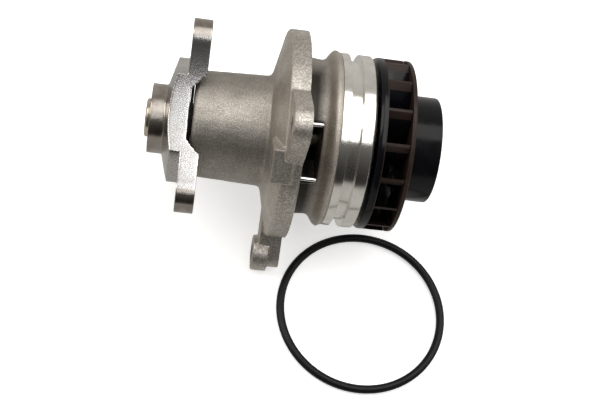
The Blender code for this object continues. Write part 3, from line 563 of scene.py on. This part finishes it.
CAST_LIGHT = (0.54, 0.505, 0.455)
CAST_DARK = (0.25, 0.228, 0.20)
CAST_METAL = 0.94
# The near-black tone, and the tilt of the height, of the painted shade in the waist behind the flange.
PAINTED_SHADE_TONE = (0.045, 0.040, 0.036)
PAINTED_SHADE_LEAN = math.radians(28.0)
# The casting's aluminium is painted 1.45 times lighter from the foot of the flange's cone onwards, a painted light
# on the flange's front faces.
cast_aluminium = grained_metal("cast aluminium", CAST_LIGHT, CAST_DARK, 0.44, 0.0004, 0.00016, 0.65,
                               painted_light=(-0.0135, -0.0105, 1.45), metal=CAST_METAL)
# The waist's copy has painted shade, near-black low down behind the flange, and is painted 1.3 times lighter up
# the collar's slope, as if lit there.
painted_shade_aluminium = grained_metal("cast aluminium with painted shade", CAST_LIGHT, CAST_DARK, 0.46, 0.0004, 0.00016, 0.65,
                                painted_shade=(0.0045, 0.0090, 0.0225, 0.0290), painted_light=(0.0070, 0.0110, 1.3),
                                metal=CAST_METAL)
coarse_aluminium = grained_metal("coarse cast aluminium", (0.76, 0.715, 0.655), (0.34, 0.312, 0.28), 0.42,
                                 0.0006, 0.00018, 0.7, seed=5.0, metal=CAST_METAL)
machined_aluminium = turned_metal("machined aluminium", (0.91, 0.89, 0.85), (0.79, 0.76, 0.70), 0.19, 0.00035,
                                  0.00001)
cover(casting, cast_aluminium, painted_shade_aluminium, coarse_aluminium)
rim_edge = FLANGE_RADIUS - 0.0004
EDGEWISE = 0.6
# Faces of the waist, between the flange and the collar, take the copy with painted shade and painted light; faces
# round the flange's rim take the coarse finish.
for face in casting.data.polygons:
    station = face.center.x - face_station
    if 0.0 < station < COLLAR_PEAK_STATION and off_shaft(face) < COLLAR_PEAK:
        face.material_index = 1
    elif off_shaft(face) > rim_edge and abs(face.normal.x) < EDGEWISE:
        face.material_index = 2
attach(casting, "housing")
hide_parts("pump_housing")


# Machined ring of the housing
# The end of the same casting, turned bright on a lathe to fit the engine block, with a square groove
# for the loose sealing ring and a small chamfer at the end.
RING_BACK = 0.0280
GROOVE_STATIONS = (0.0178, 0.0224)
GROOVE_RADIUS = 0.0334
RING_CHAMFER = 0.0010
edge = 0.00012
ring = turned("machined_ring", [
    (RING_FRONT, RING_RADIUS, edge),
    (GROOVE_STATIONS[0], RING_RADIUS, edge),
    (GROOVE_STATIONS[0], GROOVE_RADIUS, 0.0002),
    (GROOVE_STATIONS[1], GROOVE_RADIUS, 0.0002),
    (GROOVE_STATIONS[1], RING_RADIUS, edge),
    (RING_BACK - RING_CHAMFER, RING_RADIUS, edge),
    (RING_BACK, RING_RADIUS - RING_CHAMFER, edge),
    (RING_BACK, BOWL[1], edge),
    (RING_FRONT, BOWL[0] + 0.0006),
], sides=192)
shade(ring, 30.0)
cover(ring, machined_aluminium)
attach(ring, "housing")


# Window pins
# Two ground steel dowels that cross the drain window of the spool, their ends sunk in the casting.
PIN_RADIUS = 0.0010
PIN_STATIONS = (-0.0012, 0.0098)
PIN_REACH = 0.0312
PIN_INSET = PIN_RADIUS / PIN_REACH
bright_steel = grained_metal("bright steel", (0.92, 0.91, 0.90), (0.74, 0.73, 0.72), 0.20, 0.0004, 0.00001)
for name, angle in (("window_pin_upper", WINDOW_ANGLES[0] + PIN_INSET),
                    ("window_pin_lower", WINDOW_ANGLES[1] - PIN_INSET)):
    pin = bar(name + "_bright", PIN_RADIUS, *PIN_STATIONS, (PIN_REACH, angle), sides=32)
    apply_new(pin, "BEVEL", width=0.00025, segments=3, limit_method="ANGLE")
    shade(pin)
    cover(pin, bright_steel)
    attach(pin, "housing")
    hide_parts(name)


# Drive hub
# Forged steel, pressed on the shaft: a turned nose and coned disc, three arms with round tips and
# tapped holes, and hollow sides that are broached straight through.
HUB_BACK = -0.0394
ARM_FRONT = -0.0470
DISC_FRONT = -0.0513
NOSE_ROOT = -0.0545
NOSE_FRONT = -0.0607
DISC_RADIUS = 0.0262
NOSE_RADIUS = 0.0144
HUB_BORE = 0.00826
MOUTH_RADIUS = 0.01066
MOUTH_DEPTH = 0.0015
RECESS_FLOOR = -0.0452
RECESS_RADII = (0.02226, 0.02646)
ARM_ANGLES = [math.radians(degrees) for degrees in (53.0, 173.0, 293.0)]
BOLT_REACH = 0.0362
TIP_RADIUS = 0.0080
HUB_WAIST = 0.0193
TAP_RADIUS = 0.0034
HUB_VOXEL = 0.00032


def arc_points(centre, radius, start, end, steps):
    """Points along an arc whose centre is given by its radius and angle, as (radius, angle) points."""
    middle = Vector((centre[0] * math.cos(centre[1]), centre[0] * math.sin(centre[1])))
    points = []
    for i in range(steps + 1):
        turn = start + (end - start) * i / steps
        point = middle + Vector((math.cos(turn), math.sin(turn))) * radius
        points.append((point.length, math.atan2(point.y, point.x)))
    return points


third = 2.0 * math.pi / 3.0
hollow = ((BOLT_REACH ** 2 - BOLT_REACH * HUB_WAIST + HUB_WAIST ** 2 - TIP_RADIUS ** 2)
          / (BOLT_REACH + 2.0 * TIP_RADIUS - 2.0 * HUB_WAIST))
hollow_reach = HUB_WAIST + hollow
lean = math.atan2(hollow_reach * math.sin(third / 2.0), hollow_reach * math.cos(third / 2.0) - BOLT_REACH)
hub_outline = []
for angle in ARM_ANGLES:
    hub_outline += arc_points((BOLT_REACH, angle), TIP_RADIUS, angle - lean, angle + lean, 24)
    hub_outline += arc_points((hollow_reach, angle + third / 2.0), hollow, angle + math.pi + lean,
                              angle + math.pi + third - lean, 30)[1:-1]
blank_radius = BOLT_REACH + TIP_RADIUS * 1.3
hub = turned("hub_forging", [
    (NOSE_FRONT, 0.0), (NOSE_FRONT, NOSE_RADIUS), (NOSE_ROOT, NOSE_RADIUS), (DISC_FRONT, DISC_RADIUS),
    (ARM_FRONT, DISC_RADIUS), (ARM_FRONT, blank_radius), (HUB_BACK, blank_radius),
    (HUB_BACK, RECESS_RADII[1]), (RECESS_FLOOR, RECESS_RADII[0]), (RECESS_FLOOR, 0.0),
], sides=192, closed=False)
work(hub, "INTERSECT", slab("broached plan", hub_outline, NOSE_FRONT - 0.001, HUB_BACK + 0.001))
soften(hub, HUB_VOXEL, 3, 0.55)
hub_bore = turned("hub bore tool", [
    (NOSE_FRONT - 0.001, 0.0), (NOSE_FRONT - 0.001, MOUTH_RADIUS + 0.0016),
    (NOSE_FRONT, MOUTH_RADIUS), (NOSE_FRONT + MOUTH_DEPTH, HUB_BORE), (RECESS_FLOOR + 0.001, HUB_BORE),
    (RECESS_FLOOR + 0.001, 0.0),
], closed=False)
work(hub, "DIFFERENCE", hub_bore)
for angle in ARM_ANGLES:
    work(hub, "DIFFERENCE", bar("tap", TAP_RADIUS, ARM_FRONT - 0.001, HUB_BACK + 0.001, (BOLT_REACH, angle)))
shade(hub, 32.0)
hub_steel = grained_metal("forged steel", (0.74, 0.73, 0.72), (0.42, 0.40, 0.385), 0.25, 0.0004, 0.00003,
                          0.6, seed=2.0)
stained_steel = turned_metal("stained steel", (0.46, 0.42, 0.38), (0.28, 0.245, 0.215), 0.27, 0.0003, 0.00001)
cover(hub, hub_steel, stained_steel)
tip_end = BOLT_REACH + TIP_RADIUS / 2.0
TIP_EDGEWISE = 0.7
for face in hub.data.polygons:
    on_nose = face.center.x < on_pump(NOSE_ROOT).x
    on_tip = off_shaft(face) > tip_end and abs(face.normal.x) < TIP_EDGEWISE
    face.material_index = 1 if on_nose or on_tip else 0
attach(hub, "rotor")
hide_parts("drive_hub")


# Shaft
# One ground steel spindle, its front end standing a little out of the hub, with a lathe centre drilled
# in it.
SHAFT_RADIUS = 0.00796
SHAFT_STATIONS = (-0.0625, 0.0407)
CENTRE_DRILL = (0.0022, 0.0020)
shaft = turned("ground_shaft", [
    (SHAFT_STATIONS[0] + CENTRE_DRILL[1], 0.0),
    (SHAFT_STATIONS[0], CENTRE_DRILL[0]),
    (SHAFT_STATIONS[0], SHAFT_RADIUS - 0.0006, 0.0001),
    (SHAFT_STATIONS[0] + 0.0006, SHAFT_RADIUS, 0.0001),
    (SHAFT_STATIONS[1] - 0.0006, SHAFT_RADIUS, 0.0001),
    (SHAFT_STATIONS[1], SHAFT_RADIUS - 0.0006, 0.0001),
    (SHAFT_STATIONS[1], 0.0),
], sides=96, closed=False)
shade(shaft, 30.0)
ground_steel = turned_metal("ground steel", (0.72, 0.66, 0.55), (0.50, 0.42, 0.30), 0.25, 0.0003, 0.00001)
cover(shaft, ground_steel)
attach(shaft, "rotor")
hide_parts("pump_shaft")


# Slinger
# A thin near-black disc on the shaft, just in front of the barrel, that closes the gap behind the hub.
# Its near-black is painted shade, a dark sheet standing in for the shade in that gap.
SHADE_DISC_STATIONS = (-0.0449, -0.0439)
SHADE_DISC_RADIUS = 0.02036
shade_disc_edge = 0.0003
MOULD_GRAIN = 0.0008
MOULD_GRAIN_HEIGHT = 0.00002
slinger = turned("gap_shade_disc", [
    (SHADE_DISC_STATIONS[0], HUB_BORE), (SHADE_DISC_STATIONS[0], SHADE_DISC_RADIUS, shade_disc_edge),
    (SHADE_DISC_STATIONS[1], SHADE_DISC_RADIUS, shade_disc_edge), (SHADE_DISC_STATIONS[1], HUB_BORE),
])
shade(slinger)


def moulded_plastic(name, light, dark, roughness, seed=0.0, shine=0.5):
    """Moulded plastic or rubber: a slow mottle in colour and gloss, and the mould's faint texture."""
    finish = bpy.data.materials.new(name)
    finish.use_nodes = True
    tree = finish.node_tree
    shader = tree.nodes["Principled BSDF"]
    place = node(tree, "ShaderNodeTexCoord")
    mottle = node(tree, "ShaderNodeTexNoise", noise_dimensions="4D", W=seed, Scale=220.0, Detail=4.0)
    fine = node(tree, "ShaderNodeTexNoise", noise_dimensions="4D", W=seed, Scale=1.0 / MOULD_GRAIN,
                Detail=2.0)
    for texture in (mottle, fine):
        tree.links.new(place.outputs["Object"], texture.inputs["Vector"])
    tone = node(tree, "ShaderNodeMix", data_type="RGBA")
    tone.inputs[6].default_value = colour(*dark)
    tone.inputs[7].default_value = colour(*light)
    tree.links.new(mottle.outputs["Fac"], tone.inputs["Factor"])
    tree.links.new(tone.outputs[2], shader.inputs["Base Color"])
    gloss = node(tree, "ShaderNodeMapRange", From_Min=0.3, From_Max=0.7, To_Min=roughness - 0.05,
                 To_Max=roughness + 0.07)
    tree.links.new(mottle.outputs["Fac"], gloss.inputs["Value"])
    tree.links.new(gloss.outputs["Result"], shader.inputs["Roughness"])
    bump = node(tree, "ShaderNodeBump", Strength=1.0, Distance=MOULD_GRAIN_HEIGHT)
    tree.links.new(fine.outputs["Fac"], bump.inputs["Height"])
    tree.links.new(bump.outputs["Normal"], shader.inputs["Normal"])
    shader.inputs["Specular IOR Level"].default_value = shine
    return finish


# Near-black with hardly any shine: painted shade for the gap behind the hub.
gap_shade_black = moulded_plastic("painted shade black", (0.005, 0.005, 0.005), (0.003, 0.003, 0.003), 0.7,
                                 shine=0.1)
cover(slinger, gap_shade_black)
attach(slinger, "rotor")
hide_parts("slinger")


# Impeller
# Moulded in dark brown glass-filled plastic: a back disc with its bevelled rim, sixteen thin curved
# vanes and a hub over the metal bush.
IMPELLER_STATIONS = (0.0294, 0.0324)
IMPELLER_RADIUS = 0.0362
IMPELLER_BEVEL = 0.0011
IMPELLER_HUB = (0.0275, 0.0410, 0.01416)
IMPELLER_BORE = 0.01116
VANE_TOP = 0.0419
VANE_COUNT = 16
VANE_THICKNESS = 0.0012
VANE_SWEEP = math.radians(38.0)
VANE_PHASE = math.radians(121.5)
IMPELLER_BARE_EDGE = 0.0004
IMPELLER_PAINTED_SHADE_RADIUS = 0.0335
moulded_edge = 0.00025
impeller = turned("moulded_impeller", [
    (IMPELLER_HUB[0], IMPELLER_BORE, moulded_edge), (IMPELLER_HUB[0], IMPELLER_HUB[2], moulded_edge),
    (IMPELLER_STATIONS[0], IMPELLER_HUB[2]),
    (IMPELLER_STATIONS[0], IMPELLER_RADIUS - IMPELLER_BEVEL / 2.0, moulded_edge),
    (IMPELLER_STATIONS[0] + IMPELLER_BEVEL, IMPELLER_RADIUS, moulded_edge),
    (IMPELLER_STATIONS[1] - IMPELLER_BARE_EDGE, IMPELLER_RADIUS),
    (IMPELLER_STATIONS[1], IMPELLER_RADIUS, moulded_edge / 2.0),
    (IMPELLER_STATIONS[1], IMPELLER_HUB[2], 0.0004),
    (IMPELLER_HUB[1] - 0.001, IMPELLER_HUB[2]), (IMPELLER_HUB[1], IMPELLER_HUB[2] - 0.001, moulded_edge),
    (IMPELLER_HUB[1], IMPELLER_BORE, moulded_edge),
], sides=160)
vane_steps = 10
vane_root = IMPELLER_HUB[2] - 0.0005
for number in range(VANE_COUNT):
    sides = []
    for i in range(vane_steps + 1):
        radius = vane_root + (IMPELLER_RADIUS - vane_root) * i / vane_steps
        angle = VANE_PHASE + 2.0 * math.pi * number / VANE_COUNT + VANE_SWEEP * (1.0 - i / vane_steps)
        sides.append((radius, angle, VANE_THICKNESS / 2.0 / radius))
    outline = [(radius, angle - half) for radius, angle, half in sides]
    outline += [(radius, angle + half) for radius, angle, half in reversed(sides)]
    vane = slab("vane", outline, IMPELLER_STATIONS[1] - 0.0005, VANE_TOP)
    apply_new(vane, "BEVEL", width=0.00015, segments=2, limit_method="ANGLE", angle_limit=math.radians(50.0))
    work(impeller, "UNION", vane)
shade(impeller, 35.0)

brown_plastic = moulded_plastic("brown plastic", (0.032, 0.018, 0.013), (0.016, 0.009, 0.007), 0.42,
                                shine=0.25)
black_plastic = moulded_plastic("black plastic", (0.005, 0.005, 0.007), (0.002, 0.002, 0.003), 0.17, seed=4.0,
                                shine=0.22)
cover(impeller, brown_plastic, black_plastic)
# The disc's front and rim are black plastic; every face within 33.5 mm of the shaft, between the vanes, is black
# too as painted shade, so only the vanes' outer ends and the disc's back edge stay brown.
for face in impeller.data.polygons:
    wetted_rim = face.center.x < on_pump(IMPELLER_STATIONS[1] - IMPELLER_BARE_EDGE).x
    face.material_index = 1 if wetted_rim or off_shaft(face) < IMPELLER_PAINTED_SHADE_RADIUS else 0
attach(impeller, "rotor")
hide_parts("impeller")


# Impeller shroud
# The ring over the vanes, and the plain glossy neck that the coolant enters by.
SHROUD_STATIONS = (0.0422, 0.0440)
NECK_BACK = 0.0580
NECK_RADII = (0.0195, 0.0223)
NECK_ROOT = 0.0007
shroud = turned("moulded_shroud", [
    (SHROUD_STATIONS[0], NECK_RADII[0] + 0.0009, 0.0003),
    (SHROUD_STATIONS[0], IMPELLER_RADIUS, 0.0002),
    (SHROUD_STATIONS[1], IMPELLER_RADIUS, 0.0006),
    (SHROUD_STATIONS[1], NECK_RADII[1], 0.0006),
    (NECK_BACK, NECK_RADII[1], 0.0007),
    (NECK_BACK, NECK_RADII[0], 0.0005),
    (SHROUD_STATIONS[1], NECK_RADII[0]),
], sides=160)
shade(shroud, 30.0)
cover(shroud, black_plastic, brown_plastic)
for face in shroud.data.polygons:
    face.material_index = 1 if off_shaft(face) > NECK_RADII[1] + NECK_ROOT else 0
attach(shroud, "rotor")
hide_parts("impeller_shroud")


# Loose sealing ring
# A moulded black rubber ring for the groove of the housing, lying flat on the bench, with the faint
# flash line that the two halves of its mould leave round the inside and outside.
low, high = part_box("o_ring")
section_radius = (high.z - low.z) / 2.0
ring_middle = (low + high) / 2.0
ring_radius = (high.x - low.x) / 2.0 - section_radius
bpy.ops.object.select_all(action="DESELECT")
bpy.ops.mesh.primitive_torus_add(major_radius=ring_radius, minor_radius=section_radius, major_segments=220,
                                 minor_segments=36, location=ring_middle)
seal = place_in_mesh(bpy.context.object)
seal.name = "sealing_ring"
flash = 0.00005
bpy.ops.object.mode_set(mode="EDIT")
bpy.ops.mesh.select_mode(type="VERT")
for edge_radius, trimmed in ((ring_radius + section_radius, -flash), (ring_radius - section_radius, flash)):
    pick(seal, lambda place: abs(place.z - ring_middle.z) < flash
         and abs(math.hypot(place.x - ring_middle.x, place.y - ring_middle.y) - edge_radius) < flash)
    share = 1.0 + trimmed / edge_radius
    bpy.ops.transform.resize(value=(share, share, 1.0), center_override=ring_middle)
bpy.ops.object.mode_set(mode="OBJECT")
shade(seal, 60.0)
ring_rubber = moulded_plastic("black rubber", (0.005, 0.005, 0.006), (0.002, 0.002, 0.003), 0.4, seed=7.0,
                              shine=0.25)
cover(seal, ring_rubber)
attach(seal, "loose_ring")
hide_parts("o_ring")


# Bearing, face seal and bush
# The pieces inside the pump keep their plain shapes: hardened rings and balls, lip seals, a pressed
# seal cup with its bellows, spring and faces, and the brass bush of the impeller.
inner_finishes = {
    "bearing_steel": grained_metal("hardened steel", (0.70, 0.70, 0.71), (0.55, 0.55, 0.56), 0.2, 0.0004,
                                   0.00001),
    "sheet_steel": grained_metal("pressed steel", (0.66, 0.64, 0.58), (0.50, 0.48, 0.42), 0.35, 0.0006,
                                 0.00002),
    "brass": grained_metal("brass", (0.72, 0.55, 0.27), (0.55, 0.40, 0.18), 0.32, 0.0006, 0.00002),
    "seal_rubber": moulded_plastic("seal rubber", (0.022, 0.022, 0.024), (0.012, 0.012, 0.013), 0.55),
    "carbon": moulded_plastic("carbon", (0.040, 0.040, 0.042), (0.022, 0.022, 0.024), 0.38),
    "ceramic": moulded_plastic("ceramic", (0.82, 0.80, 0.75), (0.72, 0.70, 0.64), 0.25),
    "cage_plastic": moulded_plastic("cage plastic", (0.40, 0.26, 0.11), (0.28, 0.17, 0.07), 0.45),
}
inner_pieces = {
    "bearing_steel": ["bearing_outer_ring"] + ["ball_%s_%d" % (row, i) for row in ("front", "rear")
                                               for i in range(1, 8)],
    "sheet_steel": ["seal_cup", "seal_spring", "seat_cup"],
    "brass": ["impeller_insert"],
    "seal_rubber": ["bearing_seal_front", "bearing_seal_rear", "seal_bellows"],
    "carbon": ["carbon_face"],
    "ceramic": ["seal_seat"],
    "cage_plastic": ["ball_cage_front", "ball_cage_rear"],
}
for slot_name, names in inner_pieces.items():
    for name in names:
        piece = frame["nodes"][name]
        piece.data.materials.clear()
        piece.data.materials.append(inner_finishes[slot_name])
